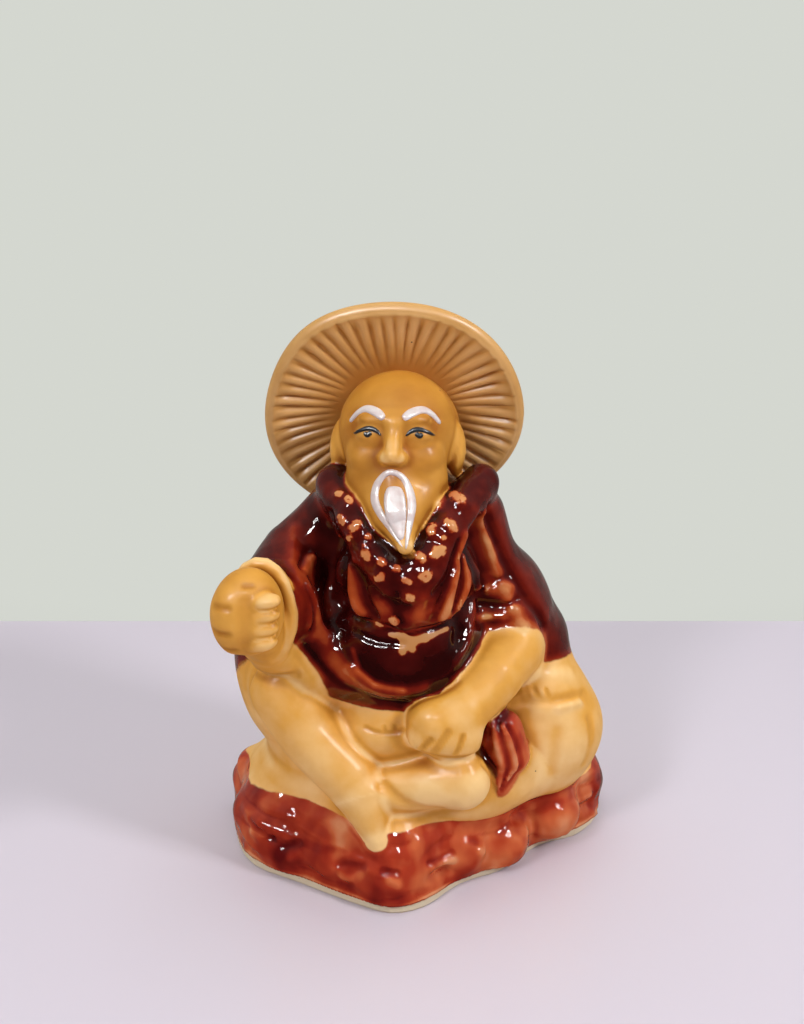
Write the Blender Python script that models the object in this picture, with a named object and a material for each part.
"""Glazed earthenware figurine: an old fisherman in a round straw hat, seated on a rock.

The figurine is built from the members a potter models and lutes together, with its raised enamel
strokes as pieces of their own. Lengths are written in millimetres and scaled by MM. +Z is up, the
figure faces -Y, and the origin is the middle of the overall box, on the table.
"""

import math

import bmesh
import bpy
from mathutils import Euler, Matrix, Vector
from mathutils.bvhtree import BVHTree

MM = 0.001

# Driving dimensions, in millimetres.
JOINT_GAP = 0.4  # clearance left along every luted joint
FOOT_THICKNESS = 1.5  # bare clay plate under the rock
ROCK_TOP = 12.0  # height of the rock's upper edge
POUR_HOLE_RADIUS = 8.0  # the mould's pour hole, through the bare foot
HAT_RADIUS = 20.5
HAT_TILT = 16.0  # degrees that the hat's rim leans forward from upright
HAT_CENTRE = (-3.2, 7.0, 72.6)
HEAD_CENTRE = (-2.7, -0.2, 72.6)
HEAD_TILT = 14.0  # degrees that the face looks up
HEAD_TURN = -4.0  # degrees that the face turns towards its raised fist
ENAMEL = 0.45  # half thickness of a raised enamel stroke
SLIVER = 0.02  # points of a cut that are closer than this are welded
VOXEL = 0.8  # grain at which overlapping lumps of clay are fused into one body
SMOOTHING = 3  # rounds of softening after fusing

# The rock's plan outline, anticlockwise from its left corner: three lobed corners and a broad back.
ROCK_OUTLINE = [
    (-30.5, -2), (-27, -9.5), (-19, -14.5), (-11, -19.4), (-4, -22.6), (2, -20.8), (8, -14.6),
    (15, -10.8), (21.5, -3.8), (28, -0.8), (32.2, 4.6), (32.6, 11), (29, 17.5), (19, 21), (6, 23.5),
    (-8, 22.5), (-20, 20.5), (-28, 14), (-31, 6),
]

# Colour, roughness of each finish.
FINISHES = {
    "amber_glaze": ((0.78, 0.47, 0.14), 0.35),
    "oxblood_glaze": ((0.16, 0.012, 0.006), 0.08),
    "rock_glaze": ((0.42, 0.05, 0.02), 0.10),
    "bare_clay": ((0.80, 0.71, 0.55), 0.85),
    "white_enamel": ((0.85, 0.79, 0.77), 0.25),
    "black_enamel": ((0.02, 0.025, 0.035), 0.20),
}


def clear_scene():
    for found in list(bpy.data.objects):
        bpy.data.objects.remove(found)


def finish(name):
    """The Principled material of one glaze, made once."""
    if name in bpy.data.materials:
        return bpy.data.materials[name]
    material = bpy.data.materials.new(name)
    material.use_nodes = True
    shader = material.node_tree.nodes["Principled BSDF"]
    colour, roughness = FINISHES[name]
    shader.inputs["Base Color"].default_value = (*colour, 1.0)
    shader.inputs["Roughness"].default_value = roughness
    return material


# ---------------------------------------------------------------- shapes in millimetres


def ball(centre, radii, turn=(0, 0, 0)):
    """An ellipsoid of clay, as a function that adds itself to a bmesh."""

    def add(mesh):
        rotation = Euler([math.radians(a) for a in turn]).to_matrix().to_4x4()
        place = Matrix.Translation(centre) @ rotation @ Matrix.Diagonal((*radii, 1))
        bmesh.ops.create_uvsphere(mesh, u_segments=28, v_segments=18, radius=1, matrix=place)

    return add


def limb(*joints, closed=False):
    """A rounded, tapering roll of clay through joints of (x, y, z, radius)."""

    def add(mesh):
        ends = joints[1:] + joints[:1] if closed else joints[1:]
        for *place, radius in joints:
            bmesh.ops.create_icosphere(
                mesh, subdivisions=3, radius=radius, matrix=Matrix.Translation(place)
            )
        for (*start, radius_1), (*end, radius_2) in zip(joints, ends):
            along = Vector(end) - Vector(start)
            turn = along.to_track_quat("Z", "Y").to_matrix().to_4x4()
            middle = Matrix.Translation((Vector(start) + Vector(end)) / 2)
            bmesh.ops.create_cone(
                mesh, cap_ends=True, segments=24, radius1=radius_1, radius2=radius_2,
                depth=along.length, matrix=middle @ turn,
            )

    return add


def ring(centre, half_width, half_height, radius, count=14):
    """A closed roll round an upright ellipse that faces -Y."""
    steps = [2 * math.pi * i / count for i in range(count)]
    x, y, z = centre
    return limb(
        *[(x + half_width * math.cos(a), y, z + half_height * math.sin(a), radius) for a in steps],
        closed=True,
    )


def smooth_outline(points, steps=3):
    """A closed Catmull-Rom curve through plan points."""
    count = len(points)
    out = []
    for i in range(count):
        a, b, c, d = (Vector(points[(i + k - 1) % count]) for k in range(4))
        for step in range(steps):
            t = step / steps
            out.append(
                0.5 * ((2 * b) + (c - a) * t + (2 * a - 5 * b + 4 * c - d) * t**2
                       + (3 * b - a - 3 * c + d) * t**3)
            )
    return out


def inset_outline(outline, distance):
    """The outline moved inwards along its own normals."""
    count = len(outline)
    out = []
    for i in range(count):
        along = (outline[(i + 1) % count] - outline[i - 1]).normalized()
        out.append(outline[i] + Vector((-along.y, along.x)) * distance)
    return out


def loft(levels):
    """A closed solid through level rings of (outline, height), capped at both ends."""

    def add(mesh):
        rings = [[mesh.verts.new((p.x, p.y, z)) for p in outline] for outline, z in levels]
        for low, high in zip(rings, rings[1:]):
            for i in range(len(low)):
                j = (i + 1) % len(low)
                mesh.faces.new((low[i], low[j], high[j], high[i]))
        mesh.faces.new(rings[0][::-1])
        mesh.faces.new(rings[-1])

    return add


def turned(profile, steps=36):
    """A solid turned about Z from a profile of (radius, height) that starts and ends on the axis."""

    def add(mesh):
        verts = [mesh.verts.new((r, 0, z)) for r, z in profile]
        edges = [mesh.edges.new(pair) for pair in zip(verts, verts[1:])]
        bmesh.ops.spin(
            mesh, geom=verts + edges, cent=(0, 0, 0), axis=(0, 0, 1), angle=2 * math.pi,
            steps=steps, use_merge=True,
        )
        bmesh.ops.remove_doubles(mesh, verts=mesh.verts, dist=0.001)
        bmesh.ops.recalc_face_normals(mesh, faces=mesh.faces)

    return add


def piece(name, parts, triangles=None, place=Matrix.Identity(4), voxel=VOXEL, smooth=SMOOTHING):
    """Joins shapes into one closed body. With a triangle count they are fused, smoothed and thinned."""
    mesh = bmesh.new()
    for part in parts:
        part(mesh)
    mesh.transform(place)
    data = bpy.data.meshes.new(name)
    mesh.to_mesh(data)
    mesh.free()
    made = bpy.data.objects.new(name, data)
    bpy.context.scene.collection.objects.link(made)
    if triangles:
        fuse = made.modifiers.new("Fuse", "REMESH")
        fuse.mode = "VOXEL"
        fuse.voxel_size = voxel
        soften = made.modifiers.new("Soften", "SMOOTH")
        soften.factor = 0.5
        soften.iterations = smooth
        apply_modifiers(made)
        thin = made.modifiers.new("Thin", "DECIMATE")
        thin.ratio = min(1.0, triangles / (2 * len(made.data.polygons)))
        apply_modifiers(made)
    return made


def apply_modifiers(made):
    bpy.context.view_layer.update()
    graph = bpy.context.evaluated_depsgraph_get()
    evaluated = bpy.data.meshes.new_from_object(made.evaluated_get(graph))
    made.modifiers.clear()
    made.data = evaluated


def keep_largest_body(made):
    """Drops the crumbs that a cut can leave beside the main body."""
    mesh = bmesh.new()
    mesh.from_mesh(made.data)
    unseen = set(mesh.verts)
    bodies = []
    while unseen:
        stack = [unseen.pop()]
        body = list(stack)
        while stack:
            for edge in stack.pop().link_edges:
                for vert in edge.verts:
                    if vert in unseen:
                        unseen.discard(vert)
                        stack.append(vert)
                        body.append(vert)
        bodies.append(body)
    bodies.sort(key=len)
    for body in bodies[:-1]:
        bmesh.ops.delete(mesh, geom=body, context="VERTS")
    mesh.to_mesh(made.data)
    mesh.free()


def boxes_meet(a, b):
    """True if the boxes of two objects share some space."""
    low_a, high_a = box_of(a)
    low_b, high_b = box_of(b)
    return all(low_a[i] < high_b[i] and low_b[i] < high_a[i] for i in range(3))


def box_of(made):
    points = [v.co for v in made.data.vertices]
    return [min(p[i] for p in points) for i in range(3)], [max(p[i] for p in points) for i in range(3)]


def cutter_from(made, gap):
    """A hidden copy of a piece, grown by the joint gap, that cuts its seat in a neighbour."""
    cutter = bpy.data.objects.new(made.name + "_cutter", made.data.copy())
    bpy.context.scene.collection.objects.link(cutter)
    cutter.hide_render = True
    cutter.display_type = "WIRE"
    grow = cutter.modifiers.new("Grow", "DISPLACE")
    grow.strength = gap
    grow.mid_level = 0.0
    apply_modifiers(cutter)
    return cutter


def cut(made, cutters):
    """Cuts each cutter's shape from a piece, one after another, and welds the slivers of each cut."""
    for cutter in cutters:
        if not boxes_meet(made, cutter):
            continue
        step = made.modifiers.new("Seat", "BOOLEAN")
        step.operation = "DIFFERENCE"
        step.object = cutter
        weld = made.modifiers.new("Weld", "WELD")
        weld.merge_threshold = SLIVER
        apply_modifiers(made)
    keep_largest_body(made)


# ---------------------------------------------------------------- members


def head_place():
    """Lays a shape drawn round the head's centre, facing -Y, into the tilted head."""
    turn = Euler((math.radians(-HEAD_TILT), 0, math.radians(HEAD_TURN))).to_matrix().to_4x4()
    return Matrix.Translation(HEAD_CENTRE) @ turn


def hat_place():
    """Lays a shape turned about Z onto the hat's axis, which points back and up."""
    lean = Euler((math.radians(HAT_TILT - 90), 0, 0)).to_matrix().to_4x4()
    return Matrix.Translation(HAT_CENTRE) @ lean


def surface_of(shapes):
    """A function from (x, z) to the depth of the foremost clay there."""
    mesh = bmesh.new()
    for shape in shapes:
        shape(mesh)
    tree = BVHTree.FromBMesh(mesh)
    mesh.free()
    return lambda x, z: tree.ray_cast(Vector((x, -50, z)), Vector((0, 1, 0)))[0].y


def enamel_strokes():
    """Brows, eyes, moustache and beard tuft, laid on the face in the head's own axes."""
    depth = surface_of(face_shapes() + beard_shapes())

    def stroke(*points):
        return limb(*[(x, depth(x, z) - radius * 0.4, z, radius) for x, z, radius in points])

    thick = ENAMEL * 1.3
    strokes = []
    for side, label in ((-1, "right"), (1, "left")):
        brow = [(1.6, 3.6), (3.4, 4.7), (5.4, 4.2), (7.0, 2.6)]
        eye = [(1.9, 0.9), (3.4, 1.6), (5.0, 1.3), (6.2, 0.6)]
        strokes.append(("brow_" + label, "white_enamel", 60,
                        [stroke(*[(side * x, z, thick) for x, z in brow])]))
        strokes.append(("eye_" + label, "black_enamel", 44,
                        [stroke(*[(side * x, z, ENAMEL) for x, z in eye])]))
    moustache = [(1.7, -15.8), (-0.6, -12.8), (-2.4, -10.0), (-2.8, -7.8), (-1.8, -6.0), (0.0, -5.2),
                 (1.8, -6.0), (2.9, -7.8), (3.1, -10.2), (2.8, -13.0), (2.3, -15.8)]
    strokes.append(("moustache", "white_enamel", 160, [stroke(*[(x, z, thick) for x, z in moustache])]))
    strokes.append(("beard_tuft", "white_enamel", 90,
                    [stroke((0.4, -8.4, 1.1), (0.7, -10.6, 1.2), (1.1, -12.8, 0.8))]))
    return strokes


def face_shapes():
    """The head, facing -Y round its own centre: skull, jaw, nose, cheeks and ears."""
    return [
        ball((0, 0.5, 1.2), (9.2, 9.4, 9.2)), ball((0, 4.2, 0.6), (9.7, 7.0, 9.5)),
        ball((0, -2.6, -3.8), (7.6, 6.4, 7.6)), ball((0, -9.0, -1.6), (1.5, 2.0, 2.8)),
        ball((-4.4, -5.4, -3.0), (2.8, 2.8, 2.8)), ball((4.4, -5.4, -3.0), (2.8, 2.8, 2.8)),
        ball((-9.3, 0.6, -2.0), (1.5, 2.3, 4.2)), ball((9.3, 0.6, -2.0), (1.5, 2.3, 4.2)),
    ]


def beard_shapes():
    """The beard: a wedge that runs from both cheeks and the lip to one point on the chest."""
    tip = (2.2, -11.4, -16.4, 0.9)
    return [
        limb((-4.2, -3.4, -6.6, 3.5), (-0.8, -7.8, -11.8, 2.5), tip),
        limb((4.8, -3.4, -6.6, 3.5), (2.3, -7.8, -11.8, 2.6), tip),
        limb((0, -6.4, -6.2, 3.1), (0.8, -8.6, -11.2, 2.8), tip),
    ]


def members():
    """(name, finish, shapes, triangles, place), front pieces first.

    An earlier member keeps its whole shape, and each later one is cut to seat it.
    """
    here = Matrix.Identity(4)
    head = head_place()
    out = [(name, glaze, shapes, triangles, head) for name, glaze, triangles, shapes in enamel_strokes()]
    out += [
        ("right_fist", "amber_glaze",
         [ball((-24.5, -22.0, 52.8), (5.3, 5.2, 6.5), (0, 0, 12))]
         + [limb((-24.2, -25.6, z, 1.4), (-20.6, -24.4, z + 0.6, 1.4)) for z in (56, 53.8, 51.6, 49.4)],
         260, here),
        ("left_hand", "amber_glaze",
         [ball((4.2, -16.8, 30.4), (5.6, 3.8, 4.4), (0, 35, 0)),
          limb((0.6, -18.0, 28.9, 1.9), (8.0, -17.2, 28.4, 2.2))],
         200, here),
        ("beard", "amber_glaze", beard_shapes(), 200, head),
        ("head", "amber_glaze", face_shapes(), 440, head),
        ("hat", "amber_glaze",
         [turned([(0, 1.8), (9, 1.8), (14, 1.3), (18.6, 0.3), (19.8, 0.2), (HAT_RADIUS, 1.2),
                  (20.0, 2.4), (19.0, 3.2), (12, 7.6), (6, 11.6), (2.5, 13.7), (0, 14.2)])],
         None, hat_place()),
        ("right_forearm", "amber_glaze",
         [limb((-22.0, -11.6, 41.4, 3.8), (-23.6, -17.6, 48.5, 4.0)),
          limb((-20.4, -12.4, 41.4, 2.4), (-16.6, -12.0, 36.9, 2.4), (-12.9, -11.6, 32.4, 2.2))],
         200, here),
        ("right_cuff", "amber_glaze",
         [ring((-22.9, -15.4, 49.8), 4.1, 7.6, 1.3)], 240, here),
        ("left_forearm", "amber_glaze",
         [limb((15.4, -5.2, 38.4, 5.0), (12.4, -9.8, 36.2, 4.7), (7.6, -14.6, 32.8, 4.2))],
         200, here),
        ("left_foot", "amber_glaze",
         [limb((-1.5, -15.2, 19.5, 4.2), (3.5, -15.8, 20.6, 4.5), (7.0, -16.2, 21.0, 4.6))],
         180, here),
        ("right_foot", "amber_glaze",
         [limb((-8.2, -15.4, 17.6, 4.5), (-6.0, -19.0, 12.0, 1.6))],
         110, here),
        ("right_leg", "amber_glaze",
         [limb((-15.5, 3.0, 28.0, 7.6), (-20.8, -10.0, 33.6, 5.4), (-17.0, -12.0, 27.6, 5.1),
               (-10.8, -14.2, 21.2, 4.8))],
         360, here),
        ("sash_tail", "rock_glaze",
         [limb((13.4, -10.4, 31.0, 1.5), (13.6, -11.4, 26.8, 3.6), (14.8, -11.0, 22.6, 3.5),
               (13.8, -12.8, 17.4, 1.2))],
         150, here),
        ("left_leg", "amber_glaze",
         [limb((14.0, 3.0, 24.0, 9.5), (22.0, 0.4, 22.0, 9.5), (20.0, -1.0, 19.4, 7.4),
               (12.0, -7.4, 18.4, 5.8))],
         340, here),
        ("collar", "oxblood_glaze",
         [limb((-12.2, -2.0, 65.2, 3.2), (-9.6, -8.0, 61.8, 3.3), (-7.2, -10.4, 58.8, 3.3),
               (-4.4, -11.8, 56.0, 3.3), (-1.4, -12.6, 54.0, 3.2), (1.2, -12.0, 56.2, 3.3),
               (3.6, -10.4, 59.6, 3.3), (5.8, -7.8, 62.8, 3.3), (8.4, -2.0, 65.4, 3.2))],
         300, here),
        ("undershirt", "oxblood_glaze",
         [ball((-1.2, -5.8, 53.0), (10.6, 10.2, 7.2)),
          limb((-10.0, -8.0, 52.6, 2.2), (-7.6, -11.2, 49.4, 2.4), (-1.6, -12.8, 48.0, 2.5),
               (4.4, -11.6, 48.8, 2.4), (8.2, -8.6, 52.0, 2.2))], 300, here),
        ("right_sleeve", "oxblood_glaze",
         [limb((-12.8, 1.5, 59.0, 4.6), (-18.6, -1.2, 52.8, 5.9), (-21.4, -7.0, 49.2, 6.5),
               (-21.6, -11.4, 49.2, 6.0)),
          limb((-19.4, -9.4, 46.5, 4.4), (-16.0, -8.8, 41.5, 4.2), (-12.2, -9.4, 37.0, 3.8)),
          ball((-20.2, 0.0, 40.0), (8.6, 8.6, 15.0))],
         360, here),
        ("left_sleeve", "oxblood_glaze",
         [limb((10.4, 1.5, 58.8, 4.6), (12.8, 0.0, 50.6, 5.2), (14.6, -0.8, 43.0, 6.3)),
          ball((16.2, 3.0, 41.5), (6.6, 8.0, 12.0), (0, -18, 0)), ball((20.6, 3.2, 36.2), (4.8, 6.4, 5.2))],
         320, here),
        ("jacket", "oxblood_glaze",
         [ball((-1, 2, 51), (13.8, 11.5, 15)), limb((-11, 2.5, 58.6, 5.0), (8.4, 2.5, 58.6, 5.0)),
          ball((-2.6, -2.0, 40.5), (14.4, 14.2, 11.5)), ball((-2.4, -3.5, 37.5), (12.5, 12.3, 6.5)),
          ball((-1, 8.0, 42), (17.5, 10.4, 21)), limb((-2.0, 0, 60, 7.0), (-2.0, 0, 66, 6.5))],
         560, here),
        ("rock_base", "rock_glaze", [rock()], None, here),
        ("robe", "amber_glaze",
         [ball((1.0, 4.0, 21.5), (23.5, 16.0, 15.5)), ball((17.5, 4.5, 18.0), (13.8, 13.0, 12.0)),
          ball((19.0, 0.8, 28.0), (9.2, 9.0, 8.6)), ball((-15.5, 3.5, 21.0), (9.8, 13.0, 14.5)),
          ball((-18.4, -2.4, 32.0), (9.9, 8.6, 12.6)), ball((2, -6.0, 15.5), (18, 9.5, 8.0)),
          ball((-3.0, -5.2, 27.0), (12.5, 11.0, 7.5)), skirt()],
         600, here),
    ]
    return out


def rock():
    """The rock, whose sides slope in towards the top."""
    outline = smooth_outline(ROCK_OUTLINE)
    base = FOOT_THICKNESS + JOINT_GAP
    return loft([
        (inset_outline(outline, 0.5), base),
        (inset_outline(outline, -0.3), base + 2.0),
        (inset_outline(outline, 0.5), 7.5),
        (inset_outline(outline, 1.7), ROCK_TOP - 1.8),
        (inset_outline(outline, 3.2), ROCK_TOP - 0.5),
        (inset_outline(outline, 5.5), ROCK_TOP),
    ])


def skirt():
    """The robe's skirt, spread over the rock's top and nearly flush with its edge."""
    outline = smooth_outline(ROCK_OUTLINE)
    return loft([
        (inset_outline(outline, 2.4), ROCK_TOP - 4.0),
        (inset_outline(outline, 2.6), ROCK_TOP),
        (inset_outline(outline, 4.4), ROCK_TOP + 2.6),
        (inset_outline(outline, 8.0), ROCK_TOP + 3.8),
    ])


def bare_foot():
    """The unglazed foot plate, with the pour hole of the mould through it."""
    outline = smooth_outline(ROCK_OUTLINE)
    made = piece("bare_foot", [loft([
        (inset_outline(outline, 0.9), 0.0),
        (inset_outline(outline, 0.5), 0.5),
        (inset_outline(outline, 0.5), FOOT_THICKNESS),
    ])])
    hole = piece("pour_hole_cutter", [turned([
        (0, 4), (POUR_HOLE_RADIUS, 4), (POUR_HOLE_RADIUS, -2), (0, -2)])])
    hole.hide_render = True
    hole.display_type = "WIRE"
    cut(made, [hole])
    return made


def hollow():
    """The casting's hollow, from the pour hole up into the chest, as a cutter."""
    made = piece("hollow_cutter", [
        ball((0.5, 3.0, 7.0), (24.0, 12.0, 9.0)), ball((1.0, 5.0, 20.0), (18.0, 10.0, 13.0)),
        ball((-1.0, 5.5, 40.0), (11.0, 8.0, 17.0))], triangles=360)
    made.hide_render = True
    made.display_type = "WIRE"
    return made


def build():
    clear_scene()
    nodes = [(bare_foot(), "bare_clay")]
    cavity = hollow()
    cutters = []
    for name, glaze, shapes, triangles, place in members():
        strokes = glaze.endswith("enamel")
        made = piece(name, shapes, triangles, place, *((0.35, 1) if strokes else ()))
        grown = cutter_from(made, JOINT_GAP)
        inner = [cavity] if name in ("jacket", "rock_base", "robe") else []
        cut(made, cutters + inner)
        cutters.append(grown)
        nodes.append((made, glaze))
    for cutter in cutters:
        bpy.data.objects.remove(cutter)
    for made, glaze in nodes:
        made.data.materials.clear()
        made.data.materials.append(finish(glaze))
        made.data.shade_smooth()
        made.data.set_sharp_from_angle(angle=math.radians(50))
    centre_on_origin([made for made, _ in nodes])


def centre_on_origin(nodes):
    """Scales the pieces to metres and stands the middle of their box on the origin."""
    boxes = [box_of(made) for made in nodes]
    low = [min(box[0][i] for box in boxes) for i in range(3)]
    high = [max(box[1][i] for box in boxes) for i in range(3)]
    shift = Matrix.Translation((-(low[0] + high[0]) / 2, -(low[1] + high[1]) / 2, -low[2]))
    for made in nodes:
        made.data.transform(Matrix.Scale(MM, 4) @ shift)


build()
